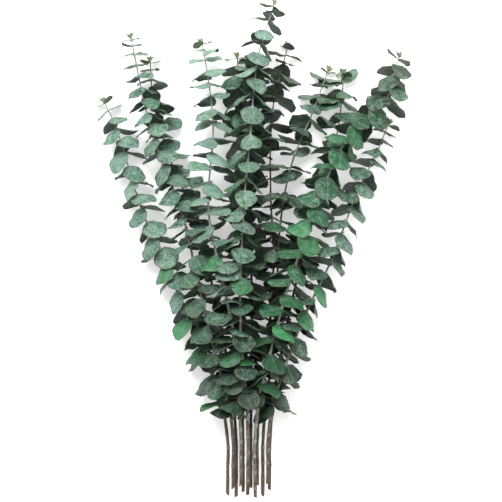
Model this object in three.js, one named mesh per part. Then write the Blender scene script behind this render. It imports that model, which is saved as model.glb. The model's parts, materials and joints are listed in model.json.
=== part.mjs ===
// A bunch of dried round-leaved eucalyptus, lying on a flat surface with its tips towards +Y.
// Twelve cut sprigs are gathered loosely at a neck and fan out from it. Each sprig is one grown
// piece: a tapered stem, bare below the neck, and opposite pairs of round leaves with no stalk,
// each pair turned a quarter turn from the last. The stems are laid first. Every leaf then takes
// the free place nearest to the one it grew in, clear of the other sprigs and of the surface.
import * as THREE from "three";

// Overall sizes, in millimetres.
const reach = 456; // from the neck to the furthest tip
const fanWidth = 328; // across the stems at their widest
const bareLength = 84; // of stem below the neck, on a sprig cut to the usual length

// The stem.
const stemRadius = 2.3; // at the cut end, to a corner of the four-sided stem
const tipRadius = 0.6;
const collarHeight = 1.3; // of the ring that a pair of leaves grows from
const bareStep = 30; // between the rings of the bare stem
const stemRoom = 1; // between the stems where they are closest, at the cut ends
const budLength = 4; // of stem past the last pair

// The leaves.
const leafLength = 25.5;
const leafWidth = 25.5;
const firstPair = 11; // from the neck to the lowest pair, at least
const pairSpacing = 15.4; // along a full-grown stretch of stem
const youngLeaf = 0.28; // size of the leaf at the very tip, as a share of a full-grown one
const youngSpacing = 0.4; // and the same for the spacing
const spacingGrowth = 26; // distance from the tip over which the spacing opens out
const budLean = -38; // degrees that the leaves at the very tip lean towards it

// The lowest leaves of a sprig stand squarer to their stem and are pushed about by their neighbours:
// shares of the droop and of the mix of the others, and the share of the leafy stem above which a
// leaf has neither.
const lowLeaves = { droop: 0.4, mixed: 1.9, height: 0.62 };
const leafRoot = 1.05; // where a leaf's outline starts, in stem radii from the middle of the stem

// How unlike each other the leaves are: degrees of lean, roll and turn, and shares of their size.
const mixed = { lean: 13, roll: 11, round: 5, length: 0.09, width: 0.07 };

// Room between pieces.
const leafGap = 1.9; // between the middle planes of two leaves
const stemGap = 1.3; // between a leaf's middle plane and another stem's side
const ownGap = 0.6; // the same, between a leaf and its own node's stem or opposite leaf
const surfaceGap = 0.4; // between a leaf's edge and the surface

// Half of a leaf's outline between its base and its tip: along the leaf and out from its midline,
// as shares of its length and of half its width.
const halfOutline = [
  [0.16, 0.68],
  [0.6, 1],
];

// Each sprig has a slot in the bundle, as [across, level] in stem pitches, which are never less
// than one apart. Above the neck its stem runs through [across, along, height]: across is a share
// of fanWidth, along is a share of reach, and height is in millimetres above the surface.
// turn is the way the first pair faces, in degrees from straight up. droop is how far the leaves
// lean back towards the cut end, nod is how far their upper faces are turned up besides, as on a
// sprig that bowed over, and fill is the distance from the tip over which they fill out. The
// sprigs that lie on top come first.
const sprigs = [
  {
    name: "sprig_centre_tall",
    slot: [-0.2, 3.3],
    route: [
      [-0.027, 0.212, 55], [-0.02, 0.467, 60],
      [0.005, 0.673, 54], [0.031, 0.866, 40], [0.087, 1, 28],
    ],
    turn: 10, droop: 32, nod: 8, leafSize: 1.02, fill: 26, cut: 4, seed: 6,
  },
  {
    name: "sprig_centre_left",
    slot: [-1.5, 2.7],
    route: [
      [-0.044, 0.173, 46], [-0.091, 0.34, 52], [-0.134, 0.497, 50],
      [-0.119, 0.704, 42], [-0.144, 0.85, 30], [-0.159, 0.908, 25],
    ],
    turn: 44, droop: 14, nod: 20, leafSize: 1.06, fill: 26, cut: -6, seed: 4,
  },
  {
    name: "sprig_right_tall",
    slot: [1.3, 2.6],
    route: [
      [0.07, 0.15, 42], [0.139, 0.329, 48], [0.258, 0.569, 48],
      [0.335, 0.673, 43], [0.451, 0.748, 34], [0.494, 0.836, 26], [0.509, 0.875, 22],
    ],
    turn: 36, droop: 34, nod: 16, leafSize: 1.1, fill: 13, cut: 7, seed: 11,
  },
  {
    name: "sprig_left_tall",
    slot: [-3.1, 2.2],
    route: [
      [-0.117, 0.164, 40], [-0.174, 0.34, 46], [-0.216, 0.473, 44],
      [-0.329, 0.695, 34], [-0.399, 0.921, 22],
    ],
    turn: 46, droop: 24, nod: 16, leafSize: 1, fill: 45, cut: -3, seed: 2,
  },
  {
    name: "sprig_right_outer",
    slot: [3.8, 2.1],
    route: [
      [0.114, 0.103, 32], [0.181, 0.232, 34], [0.285, 0.388, 32],
      [0.349, 0.511, 28], [0.442, 0.654, 20], [0.476, 0.714, 14],
    ],
    turn: 42, droop: 32, nod: 8, leafSize: 1.02, fill: 30, cut: -8, seed: 12,
  },
  {
    name: "sprig_left_outer",
    slot: [-4.2, 1.1],
    route: [
      [-0.154, 0.157, 25], [-0.305, 0.405, 26], [-0.362, 0.502, 25],
      [-0.449, 0.7, 18], [-0.493, 0.767, 13],
    ],
    turn: 38, droop: 34, nod: 18, leafSize: 1.08, fill: 28, cut: 5, seed: 1,
  },
  {
    name: "sprig_centre_behind",
    slot: [-1.1, 1.4],
    route: [
      [-0.03, 0.2, 30], [-0.027, 0.478, 28], [-0.021, 0.697, 22],
      [-0.04, 0.877, 13],
    ],
    turn: 40, droop: 34, nod: 8, leafSize: 1.08, fill: 14, cut: 2, seed: 5,
  },
  {
    name: "sprig_right_slender",
    slot: [1.7, 1.4],
    route: [
      [0.06, 0.14, 28], [0.084, 0.381, 30], [0.074, 0.54, 28],
      [0.08, 0.738, 22], [0.133, 0.901, 13],
    ],
    turn: 12, droop: 6, nod: 2, leafSize: 1.02, fill: 18, cut: -5, seed: 8,
  },
  {
    name: "sprig_left_behind",
    slot: [-2.5, 0.3],
    route: [
      [-0.107, 0.261, 19], [-0.188, 0.489, 19], [-0.268, 0.627, 17],
      [-0.325, 0.779, 13], [-0.335, 0.868, 10],
    ],
    turn: 30, droop: 24, nod: 12, leafSize: 1.04, fill: 34, cut: 8, seed: 3,
  },
  {
    name: "sprig_right_straight",
    slot: [4.1, 0.8],
    route: [
      [0.127, 0.212, 18], [0.206, 0.451, 18], [0.288, 0.646, 16],
      [0.315, 0.762, 13], [0.322, 0.837, 10],
    ],
    turn: 24, droop: 16, nod: 14, leafSize: 1.04, fill: 16, cut: 0, seed: 10,
  },
  {
    name: "sprig_right_leaning",
    slot: [2.8, 0.1],
    route: [
      [0.091, 0.188, 16], [0.104, 0.444, 18], [0.143, 0.605, 17],
      [0.225, 0.752, 13], [0.271, 0.844, 10],
    ],
    turn: 70, droop: 6, nod: 2, leafSize: 1, fill: 20, cut: 6, seed: 9,
  },
  {
    name: "sprig_centre_under",
    slot: [0.4, 0],
    route: [
      [0.01, 0.212, 17], [0.01, 0.526, 18], [0.027, 0.743, 14],
      [0, 0.871, 10],
    ],
    turn: 48, droop: 36, nod: 6, leafSize: 1.04, fill: 16, cut: -2, seed: 7,
  },
];

// The bundle is packed closest at the cut ends, where its lowest level lies on the surface. By the
// neck it has risen on the leaves beneath it and loosened.
const stemPitch = 2 * stemRadius + stemRoom;
const neckRise = 11.5;
const neckAcross = 1.1;
const neckLevels = 1.5;

// How far a leaf may be moved to find a free place, in degrees: leaning along the stem, round the
// stem, and turned about its own midline. A leaf that finds no place is tried smaller, as a leaf
// that grew in a crowd is, and one that still finds none was stripped off.
const leanMoves = [0, 8, -8, 16, -16, 24, -24, 32, -32, 40, -40, 50, -50];
const roundMoves = [0, 6, -6, 11, -11];
const rollMoves = [0, 9, -9, 18, -18];
const crowdedSizes = [1, 0.84, 0.68];
const mostLean = 60;
const moveCost = { lean: 1 / 8, round: 1 / 8, roll: 1 / 15 }; // per degree

const degrees = Math.PI / 180;
const up = new THREE.Vector3(0, 0, 1);

// Numbers between -1 and 1 that are the same on every run.
function scatter(seed) {
  let state = seed * 2654435761;
  return () => {
    state = (state + 0x6d2b79f5) | 0;
    let t = Math.imul(state ^ (state >>> 15), 1 | state);
    t = (t + Math.imul(t ^ (t >>> 7), 61 | t)) ^ t;
    return ((t ^ (t >>> 14)) >>> 0) / 2147483648 - 1;
  };
}

// The middle line of a sprig's stem, from the cut end to the tip.
function stemCurve(sprig) {
  const [across, level] = sprig.slot;
  const end = new THREE.Vector3(
    across * stemPitch,
    -bareLength - sprig.cut,
    stemRadius + surfaceGap + level * stemPitch,
  );
  const neck = new THREE.Vector3(
    across * stemPitch * neckAcross,
    0,
    stemRadius + neckRise + level * stemPitch * neckLevels,
  );
  const points = sprig.route.map(
    ([across, along, height]) => new THREE.Vector3(across * fanWidth, along * reach, height),
  );
  return new THREE.CatmullRomCurve3([end, neck, ...points], false, "centripetal");
}

// A place on the stem with its own axes: along the stem, up from it and to its side.
function placeOn(curve, length, distance) {
  const share = distance / length;
  const along = curve.getTangentAt(share).normalize();
  const above = up.clone().addScaledVector(along, -up.dot(along)).normalize();
  return {
    centre: curve.getPointAt(share),
    along,
    above,
    side: new THREE.Vector3().crossVectors(along, above),
    radius: THREE.MathUtils.lerp(stemRadius, tipRadius, share),
    fromTip: length - distance,
    distance,
  };
}

function outward(place, angle) {
  return place.above.clone().multiplyScalar(Math.cos(angle)).addScaledVector(place.side, Math.sin(angle));
}

// The places along a sprig's stem, from the cut end to the tip: rings of the bare stem, and then
// the nodes that a pair of leaves grows from.
function stemPlaces(sprig, curve, length) {
  const neckDistance = bareLength + sprig.cut;
  const nodes = [];
  let fromTip = budLength;
  while (length - fromTip > neckDistance + firstPair) {
    nodes.push(length - fromTip);
    const grown = 1 - Math.exp(-fromTip / spacingGrowth);
    fromTip += pairSpacing * sprig.leafSize * (youngSpacing + (1 - youngSpacing) * grown);
  }
  const bareRings = Math.round(neckDistance / bareStep);
  const places = [];
  for (let i = 0; i < bareRings; i++) places.push(placeOn(curve, length, (neckDistance * i) / bareRings));
  nodes.reverse().forEach((distance) => {
    places.push({ ...placeOn(curve, length, distance), leafy: true });
  });
  places.push(placeOn(curve, length, length));
  places.forEach((place) => {
    place.turn = sprig.turn * degrees;
    place.height = (place.distance - neckDistance) / (length - neckDistance);
  });
  return places;
}

// A leaf's rim, from one side of its base round its tip to the other, and the same with its base.
function leafShape(place, leaf, scale) {
  const outwards = outward(place, leaf.angle);
  const tilt = leaf.lean * degrees;
  const length = leaf.length * scale;
  const halfWidth = (leaf.width * scale) / 2;
  const midline = outwards
    .clone()
    .multiplyScalar(Math.cos(tilt))
    .addScaledVector(place.along, -Math.sin(tilt));
  const across = new THREE.Vector3()
    .crossVectors(place.along, outwards)
    .applyAxisAngle(midline, leaf.roll * degrees);
  const base = place.centre.clone().addScaledVector(outwards, place.radius * leafRoot);
  const point = (share, out) =>
    base.clone().addScaledVector(midline, share * length).addScaledVector(across, out * halfWidth);
  const rim = [
    ...halfOutline.map(([share, out]) => point(share, -out)),
    point(1, 0),
    ...halfOutline.map(([share, out]) => point(share, out)).reverse(),
  ];
  return { rim, points: [base, ...rim], roll: leaf.roll };
}

// Whether two convex sets of points are at least `room` apart. The nearest point of their
// difference to the origin is closed in on, and the answer is known once a plane splits them
// by that much or the point comes nearer than that.
function apart(first, second, room) {
  const nearest = first[0].clone().sub(second[0]);
  const step = new THREE.Vector3();
  for (let tries = 0; tries < 60; tries++) {
    const distance = nearest.length();
    if (distance < room) return false;
    let low = first[0];
    let lowest = Infinity;
    for (const p of first) {
      const d = p.dot(nearest);
      if (d < lowest) [low, lowest] = [p, d];
    }
    let high = second[0];
    let highest = -Infinity;
    for (const p of second) {
      const d = p.dot(nearest);
      if (d > highest) [high, highest] = [p, d];
    }
    if ((lowest - highest) / distance >= room) return true;
    step.subVectors(low, high).sub(nearest);
    const share = -step.dot(nearest) / step.lengthSq();
    if (!(share > 0)) return false;
    nearest.addScaledVector(step, Math.min(share, 1));
  }
  return false;
}

// Something a leaf keeps clear of: a stretch of stem, or another leaf with its rim given as well.
function obstacle(points, rim, room, owner, node) {
  const middle = points.reduce((sum, p) => sum.add(p), new THREE.Vector3()).divideScalar(points.length);
  const radius = Math.max(...points.map((p) => p.distanceTo(middle)));
  return { points, rim, room, owner, node, middle, radius };
}

// Leaves of one sprig meet at the stem, so there each rim keeps clear of the other leaf. The
// stretches of stem on both sides of a leaf's own node are nearer to it than the rest.
function clears(shape, other, owner, node) {
  if (other.owner !== owner) return apart(shape.points, other.points, other.room);
  const step = Math.abs(other.node - node);
  const room = step < 1 ? ownGap + (other.rim ? 0 : stemRadius * Math.SQRT1_2) : other.room;
  if (!apart(shape.rim, other.points, room)) return false;
  return !other.rim || apart(shape.points, other.rim, room);
}

// Moves in order of how far they take a leaf from the way it grew.
const moves = leanMoves
  .flatMap((lean) => roundMoves.flatMap((round) => rollMoves.map((roll) => ({ lean, round, roll }))))
  .sort((a, b) => effort(a) - effort(b));

function effort({ lean, round, roll }) {
  return (
    Math.abs(lean) * moveCost.lean + Math.abs(round) * moveCost.round + Math.abs(roll) * moveCost.roll
  );
}

// Finds the leaf its place among what is there already, or returns null.
function settle(place, grown, obstacles, owner, node) {
  const reachOfLeaf = Math.hypot(grown.length, grown.width);
  const near = obstacles.filter(
    (o) => o.middle.distanceTo(place.centre) < reachOfLeaf + o.radius + o.room,
  );
  for (const size of crowdedSizes)
    for (const move of moves) {
      const lean = grown.lean + move.lean;
      if (Math.abs(lean) > mostLean) continue;
      const leaf = {
        ...grown,
        lean,
        angle: grown.angle + move.round * degrees,
        roll: grown.roll + move.roll,
      };
      const shape = leafShape(place, leaf, size);
      if (shape.rim.some((p) => p.z < surfaceGap)) continue;
      if (near.every((o) => clears(shape, o, owner, node))) return shape;
    }
  return null;
}

// The leaves that grow at one place, one from each side of the stem.
function growPair(sprig, place, index, obstacles, random) {
  const young = Math.exp(-place.fromTip / sprig.fill);
  const size = sprig.leafSize * (youngLeaf + (1 - youngLeaf) * (1 - young));
  const free = Math.min(place.height / lowLeaves.height, 1);
  const bowed = THREE.MathUtils.lerp(lowLeaves.droop, 1, free);
  const pushed = THREE.MathUtils.lerp(lowLeaves.mixed, 1, free);
  const facet = index % 2;
  return [facet, facet + 2].map((side) => {
    const facing = place.turn + side * 90 * degrees;
    const lean = bowed * (sprig.droop + sprig.nod * Math.cos(facing));
    const grown = {
      angle: facing + random() * mixed.round * degrees,
      lean: THREE.MathUtils.lerp(lean, budLean, young * young) + random() * pushed * mixed.lean,
      roll: bowed * sprig.nod * Math.sin(facing) + random() * pushed * mixed.roll,
      length: leafLength * size * (1 + mixed.length * random()),
      width: leafWidth * size * (1 + mixed.width * random()),
    };
    const leaf = settle(place, grown, obstacles, sprig.name, index);
    if (leaf) obstacles.push(obstacle(leaf.points, leaf.rim, leafGap, sprig.name, index));
    return { side, leaf };
  }).filter(({ leaf }) => leaf);
}

// Collects the triangles of one closed skin.
class Skin {
  constructor() {
    this.positions = [];
    this.faces = [];
  }

  point(p) {
    this.positions.push(p.x, p.y, p.z);
    return this.positions.length / 3 - 1;
  }

  // A flat or nearly flat polygon, as a fan from its first corner.
  polygon(...corners) {
    for (let i = 2; i < corners.length; i++) this.faces.push(corners[0], corners[i - 1], corners[i]);
  }

  geometry() {
    const made = new THREE.BufferGeometry();
    made.setAttribute("position", new THREE.Float32BufferAttribute(this.positions, 3));
    made.setIndex(this.faces);
    made.computeVertexNormals();
    return made;
  }
}

// Four corners round the stem. Side k lies between corners k - 1 and k and faces turn + 90 k.
function ring(skin, place, lift) {
  return [0, 1, 2, 3].map((k) =>
    skin.point(
      place.centre
        .clone()
        .addScaledVector(place.along, lift)
        .addScaledVector(outward(place, place.turn + (k + 0.5) * 90 * degrees), place.radius),
    ),
  );
}

function wall(skin, lower, upper, sides = [0, 1, 2, 3]) {
  for (const k of sides) {
    const last = (k + 3) % 4;
    skin.polygon(lower[last], lower[k], upper[k], upper[last]);
  }
}

// A leaf is a thin wedge: its upper and lower faces start at the two edges of the collar and
// meet at the rim. Both are fanned from the corners that the leaf is turned away from, so that
// they don't cross.
function addLeaf(skin, lower, upper, side, leaf) {
  const last = (side + 3) % 4;
  const rim = leaf.rim.map((p) => skin.point(p));
  const above = [upper[last], ...rim, upper[side]];
  const below = [lower[side], ...rim.slice().reverse(), lower[last]];
  if (leaf.roll < 0) [above, below].forEach((corners) => corners.unshift(corners.pop()));
  skin.polygon(...above);
  skin.polygon(...below);
  skin.polygon(lower[last], rim[0], upper[last]);
  skin.polygon(upper[side], rim[rim.length - 1], lower[side]);
}

// A collar round the stem, with the leaves that grow from it in place of its own sides.
function addCollar(skin, place, leaves) {
  const lower = ring(skin, place, -collarHeight / 2);
  const upper = ring(skin, place, collarHeight / 2);
  leaves.forEach(({ side, leaf }) => addLeaf(skin, lower, upper, side, leaf));
  const taken = leaves.map(({ side }) => side);
  wall(skin, lower, upper, [0, 1, 2, 3].filter((k) => !taken.includes(k)));
  return { lower, upper };
}

function sprigMesh(sprig, places, leavesAt) {
  const skin = new Skin();
  let previous = null;
  places.forEach((place, index) => {
    const plain = place.leafy ? null : ring(skin, place, 0);
    const { lower, upper } = plain
      ? { lower: plain, upper: plain }
      : addCollar(skin, place, leavesAt[index]);
    if (previous) wall(skin, previous, lower);
    else skin.polygon(...lower.slice().reverse());
    previous = upper;
  });
  skin.polygon(...previous);
  const mesh = new THREE.Mesh(skin.geometry(), leafMaterial);
  mesh.name = sprig.name;
  return mesh;
}

const leafMaterial = new THREE.MeshStandardMaterial({ color: 0x4f7d63, roughness: 0.8, metalness: 0 });

// Lay all the stems first, as the leaves have to keep clear of them.
const obstacles = [];
const laid = sprigs.map((sprig) => {
  const curve = stemCurve(sprig);
  curve.arcLengthDivisions = 400;
  const places = stemPlaces(sprig, curve, curve.getLength());
  places.slice(1).forEach((place, i) => {
    const ends = [places[i].centre, place.centre];
    obstacles.push(obstacle(ends, null, places[i].radius + stemGap, sprig.name, i + 0.5));
  });
  return { sprig, places };
});

const bunch = new THREE.Group();
for (const { sprig, places } of laid) {
  const random = scatter(sprig.seed);
  const leavesAt = places.map((place, index) =>
    place.leafy ? growPair(sprig, place, index, obstacles, random) : [],
  );
  bunch.add(sprigMesh(sprig, places, leavesAt));
}

// The part's origin is under the middle of the bunch, on the surface.
const box = new THREE.Box3().setFromObject(bunch);
const middle = box.getCenter(new THREE.Vector3());
bunch.position.set(-middle.x, -middle.y, -box.min.z);
bunch.updateMatrixWorld(true);

export default bunch;
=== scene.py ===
import json
import math
import random

import bmesh
import bpy
from mathutils import Matrix, Vector, kdtree

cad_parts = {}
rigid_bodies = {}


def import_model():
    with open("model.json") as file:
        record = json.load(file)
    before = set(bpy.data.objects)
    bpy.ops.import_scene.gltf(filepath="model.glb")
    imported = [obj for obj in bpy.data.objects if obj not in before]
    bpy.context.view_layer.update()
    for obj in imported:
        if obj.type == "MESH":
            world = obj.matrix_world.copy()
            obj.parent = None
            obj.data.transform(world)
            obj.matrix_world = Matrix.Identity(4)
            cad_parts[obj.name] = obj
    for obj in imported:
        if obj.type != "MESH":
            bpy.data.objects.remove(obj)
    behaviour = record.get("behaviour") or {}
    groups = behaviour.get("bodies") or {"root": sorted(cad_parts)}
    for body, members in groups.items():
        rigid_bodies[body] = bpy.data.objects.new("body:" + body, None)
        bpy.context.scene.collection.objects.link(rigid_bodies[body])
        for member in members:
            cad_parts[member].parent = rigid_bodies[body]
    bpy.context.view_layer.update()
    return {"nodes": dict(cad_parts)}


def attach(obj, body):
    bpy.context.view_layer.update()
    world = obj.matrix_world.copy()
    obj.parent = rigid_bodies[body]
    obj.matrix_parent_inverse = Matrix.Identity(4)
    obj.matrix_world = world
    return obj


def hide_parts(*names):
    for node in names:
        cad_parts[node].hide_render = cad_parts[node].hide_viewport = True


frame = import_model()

mm = 0.001
scene = bpy.context.scene
scene.view_settings.view_transform = "Standard"  # keeps the greens as strong as they are mixed
print("frame loaded with", len(frame["nodes"]), "sprigs")


# reading the sprigs: each CAD sprig is a four-sided stem, and every leaf on it is a flat wedge
# with five rim points

readSettings = {
    "mergeDistance": 0.002 * mm,
    "rimPoints": 5,
    "rimNeighbours": 4,      # a rim point touches two faces above and two below
    "stemSides": 4,
    "widestAt": 0.6,         # where the second and fourth rim points lie along the leaf
    "collarHeight": 2 * mm,  # rings closer than this are the two edges of one leaf node
}


def middleOf(points):
    return sum(points, Vector()) / len(points)


def rimChains(bm, near):
    # the rim points of one leaf, in order from one side of its joint to the other
    onRim = {v for v in bm.verts if len(near[v]) == readSettings["rimNeighbours"]}
    chains = []
    for start in sorted(onRim, key=lambda v: v.index):
        chain = [start]
        while True:
            ahead = [v for v in near[chain[-1]] if v in onRim and v not in chain]
            if len(ahead) != 1:
                break
            chain.append(ahead[0])
        if len(chain) == readSettings["rimPoints"] and chain[0].index < chain[-1].index:
            chains.append(chain)
    return chains


def stemRings(bm, near, rim):
    # the lowest points are the cut end, and each ring's neighbours are the next ring
    wood = [v for v in bm.verts if v not in rim]
    rings = [sorted(wood, key=lambda v: v.co.y)[:readSettings["stemSides"]]]
    seen = set(rings[0])
    while True:
        ahead = {n for v in rings[-1] for n in near[v] if n not in rim and n not in seen}
        if not ahead:
            return rings
        rings.append(sorted(ahead, key=lambda v: v.index))
        seen |= ahead


def stemPlaces(rings):
    # one place for a plain ring and one for the two rings of a collar
    places = []
    for ring in rings:
        centre = middleOf([v.co for v in ring])
        radius = (ring[0].co - centre).length
        if places and (centre - places[-1]["centre"]).length < readSettings["collarHeight"]:
            places[-1].update(centre=(centre + places[-1]["centre"]) / 2, leafy=True)
        else:
            places.append({"centre": centre, "radius": radius, "leafy": False})
    for i, place in enumerate(places):
        behind = places[max(i - 1, 0)]["centre"]
        ahead = places[min(i + 1, len(places) - 1)]["centre"]
        place["along"] = (ahead - behind).normalized()
        place["distance"] = places[i - 1]["distance"] + (place["centre"] - behind).length if i else 0
    return places


def readLeaf(chain, places):
    corners = [v.co.copy() for v in chain]
    tip = corners[2]
    widest = (corners[1] + corners[3]) / 2
    length = (tip - widest).length / (1 - readSettings["widestAt"])
    midline = (tip - widest).normalized()
    base = tip - midline * length
    number = min(range(len(places)), key=lambda i: (places[i]["centre"] - base).length)
    across = (corners[3] - corners[1]).normalized()
    upper = across.cross(midline)
    if upper.dot(places[number]["along"]) < 0:
        across, upper = -across, -upper
    return {
        "base": base, "midline": midline, "across": across, "upper": upper,
        "length": length, "width": (corners[3] - corners[1]).length, "place": number,
    }


def readSprig(name):
    bm = bmesh.new()
    bm.from_mesh(frame["nodes"][name].data)
    bmesh.ops.remove_doubles(bm, verts=bm.verts, dist=readSettings["mergeDistance"])
    near = {v: [e.other_vert(v) for e in v.link_edges] for v in bm.verts}
    chains = rimChains(bm, near)
    places = stemPlaces(stemRings(bm, near, {v for chain in chains for v in chain}))
    leaves = [readLeaf(chain, places) for chain in chains]
    bm.free()
    return {"name": name, "places": places, "leaves": leaves, "length": places[-1]["distance"]}


sprigs = [readSprig(name) for name in sorted(frame["nodes"])]
print("read", sum(len(sprig["leaves"]) for sprig in sprigs), "leaves")


# leaves for the nodes that the frame leaves bare where the sprigs crowd: a thin blade finds room
# where the frame's thick wedge did not

crowdSettings = {
    "tries": 90,
    "round": 22,       # degrees either way round the stem
    "lean": (-40, 62),  # degrees back towards the cut end
    "roll": 34,
    "size": (0.80, 0.98),  # of the leaves near it
    "surfaceGap": 1.5 * mm,
    "seed": 31,
}
# where a leaf is tested for room: shares of its length, and of half its width to either side
leafSpots = [
    (0.25, 0), (0.3, 0.7), (0.3, -0.7), (0.6, 0), (0.6, 0.9), (0.6, -0.9),
    (0.88, 0.5), (0.88, -0.5), (1, 0),
]


def spotsOn(leaf):
    return [
        leaf["base"] + leaf["midline"] * leaf["length"] * along + leaf["across"] * leaf["width"] / 2 * out
        for along, out in leafSpots
    ]


def spotTree():
    spots = [spot for sprig in sprigs for leaf in sprig["leaves"] for spot in spotsOn(leaf)]
    spots += [place["centre"] for sprig in sprigs for place in sprig["places"]]
    tree = kdtree.KDTree(len(spots))
    for i, spot in enumerate(spots):
        tree.insert(spot, i)
    tree.balance()
    return tree


def outwardOf(leaf, along):
    return (leaf["midline"] - along * leaf["midline"].dot(along)).normalized()


def triedLeaf(place, number, outwards, like, chance):
    around = math.radians(chance.uniform(-1, 1) * crowdSettings["round"])
    lean = math.radians(chance.uniform(*crowdSettings["lean"]))
    roll = math.radians(chance.uniform(-1, 1) * crowdSettings["roll"])
    size = chance.uniform(*crowdSettings["size"])
    turned = Matrix.Rotation(around, 3, place["along"]) @ outwards
    midline = (turned * math.cos(lean) - place["along"] * math.sin(lean)).normalized()
    across = Matrix.Rotation(roll, 3, midline) @ place["along"].cross(turned).normalized()
    upper = across.cross(midline)
    if upper.dot(place["along"]) < 0:
        across, upper = -across, -upper
    return {
        "base": place["centre"] + turned * place["radius"], "midline": midline, "across": across,
        "upper": upper, "length": like["length"] * size, "width": like["width"] * size, "place": number,
    }


def fillBareNodes(sprig, chance):
    added = []
    for number, place in enumerate(sprig["places"]):
        own = [leaf for leaf in sprig["leaves"] if leaf["place"] == number]
        if not place["leafy"] or len(own) > 1:
            continue
        like = min(sprig["leaves"], key=lambda leaf: abs(leaf["place"] - number))
        outwards = outwardOf(like, place["along"])
        if (like["place"] - number) % 2:
            outwards = place["along"].cross(outwards)
        for side in ([-1] if own else [-1, 1]):
            spots = spotTree()
            best, bestRoom = None, 0
            for _ in range(crowdSettings["tries"]):
                leaf = triedLeaf(place, number, outwards * side, like, chance)
                points = spotsOn(leaf)
                if min(point.z for point in points) < crowdSettings["surfaceGap"]:
                    continue
                room = min(spots.find(point)[2] for point in points[1:])
                if room > bestRoom:
                    best, bestRoom = leaf, room
            if best:
                sprig["leaves"].append(best)
                added.append(best)
    return added


crowdChance = random.Random(crowdSettings["seed"])
print("added", sum(len(fillBareNodes(sprig, crowdChance)) for sprig in sprigs), "leaves at bare nodes")


# how the sprigs differ: green is the blade under its bloom, and the darker greens of the sprigs
# behind and under the rest are partly painted shade, frost is how much bloom lies on it, spread how
# unlike the leaves of one sprig are, tipShade how much of its green is left at the tip, and bark and
# stemBloom are the stem's colour and bloom

sprigLooks = {
    "sprig_centre_tall": {
        "green": (0.038, 0.120, 0.070), "frost": 0.68, "spread": 0.34,
        "bark": (0.090, 0.058, 0.046), "stemBloom": 0.66, "seed": 16,
    },
    "sprig_centre_left": {
        "green": (0.058, 0.165, 0.105), "frost": 0.80, "spread": 0.22,
        "bark": (0.120, 0.110, 0.085), "stemBloom": 0.8, "seed": 14,
    },
    "sprig_right_tall": {
        "green": (0.022, 0.124, 0.047), "frost": 0.10, "spread": 0.55,
        "bark": (0.110, 0.095, 0.072), "stemBloom": 0.8, "seed": 21, "tipShade": 0.35,
    },
    "sprig_left_tall": {
        "green": (0.040, 0.118, 0.070), "frost": 0.44, "spread": 0.34,
        "bark": (0.095, 0.060, 0.045), "stemBloom": 0.55, "seed": 12,
    },
    "sprig_right_outer": {
        "green": (0.033, 0.090, 0.052), "frost": 0.34, "spread": 0.36,
        "bark": (0.090, 0.070, 0.052), "stemBloom": 0.6, "seed": 22,
    },
    "sprig_left_outer": {
        "green": (0.042, 0.140, 0.084), "frost": 0.58, "spread": 0.28,
        "bark": (0.100, 0.062, 0.050), "stemBloom": 0.55, "seed": 11,
    },
    "sprig_centre_behind": {
        "green": (0.026, 0.108, 0.047), "frost": 0.20, "spread": 0.40,
        "bark": (0.060, 0.042, 0.034), "stemBloom": 0.2, "seed": 15,
    },
    "sprig_right_slender": {
        "green": (0.034, 0.080, 0.046), "frost": 0.22, "spread": 0.40,
        "bark": (0.075, 0.036, 0.030), "stemBloom": 0.25, "seed": 18,
    },
    "sprig_left_behind": {
        "green": (0.032, 0.110, 0.058), "frost": 0.34, "spread": 0.34,
        "bark": (0.080, 0.050, 0.040), "stemBloom": 0.35, "seed": 13,
    },
    "sprig_right_straight": {
        "green": (0.030, 0.115, 0.057), "frost": 0.22, "spread": 0.36,
        "bark": (0.085, 0.055, 0.045), "stemBloom": 0.45, "seed": 20,
    },
    "sprig_right_leaning": {
        "green": (0.050, 0.100, 0.055), "frost": 0.30, "spread": 0.34,
        "bark": (0.130, 0.120, 0.095), "stemBloom": 0.6, "seed": 19,
    },
    "sprig_centre_under": {
        "green": (0.017, 0.066, 0.030), "frost": 0.10, "spread": 0.36,
        "bark": (0.055, 0.038, 0.030), "stemBloom": 0.2, "seed": 17,
    },
}


# building node trees

def addNode(tree, kind, inputs=None, **settings):
    node = tree.nodes.new(kind)
    for name, value in settings.items():
        setattr(node, name, value)
    for key, value in (inputs or {}).items():
        if isinstance(value, bpy.types.NodeSocket):
            tree.links.new(value, node.inputs[key])
        else:
            node.inputs[key].default_value = value
    return node


def math2(tree, operation, a, b=0.0, clamp=False):
    return addNode(tree, "ShaderNodeMath", {0: a, 1: b}, operation=operation, use_clamp=clamp).outputs[0]


def multiplyAdd(tree, a, b, c):
    return addNode(tree, "ShaderNodeMath", {0: a, 1: b, 2: c}, operation="MULTIPLY_ADD").outputs[0]


def inverse(tree, value):
    return math2(tree, "SUBTRACT", 1.0, value)


def ramp(tree, value, low, high):
    # 0 below low and 1 above high, with a soft step between
    node = addNode(
        tree, "ShaderNodeMapRange",
        {"Value": value, "From Min": low, "From Max": high},
        interpolation_type="SMOOTHSTEP",
    )
    return node.outputs["Result"]


def mixColours(tree, share, first, second):
    node = addNode(tree, "ShaderNodeMix", {0: share, 6: first, 7: second}, data_type="RGBA")
    return node.outputs[2]


def scaled(tree, colour, strength):
    # strength is a socket, or three shares of red, green and blue
    if isinstance(strength, tuple):
        node = addNode(tree, "ShaderNodeVectorMath", {0: colour, 1: strength}, operation="MULTIPLY")
    else:
        node = addNode(tree, "ShaderNodeVectorMath", {0: colour, "Scale": strength}, operation="SCALE")
    return node.outputs[0]


def rgba(colour, strength=1.0):
    return tuple(c * strength for c in colour) + (1.0,)


def noise(tree, place, scale, detail=2.0, roughness=0.5):
    node = addNode(
        tree, "ShaderNodeTexNoise",
        {"Vector": place, "Scale": scale, "Detail": detail, "Roughness": roughness},
    )
    return node.outputs[0]


def attribute(tree, name, output="Fac"):
    return addNode(tree, "ShaderNodeAttribute", attribute_name=name).outputs[output]


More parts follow.
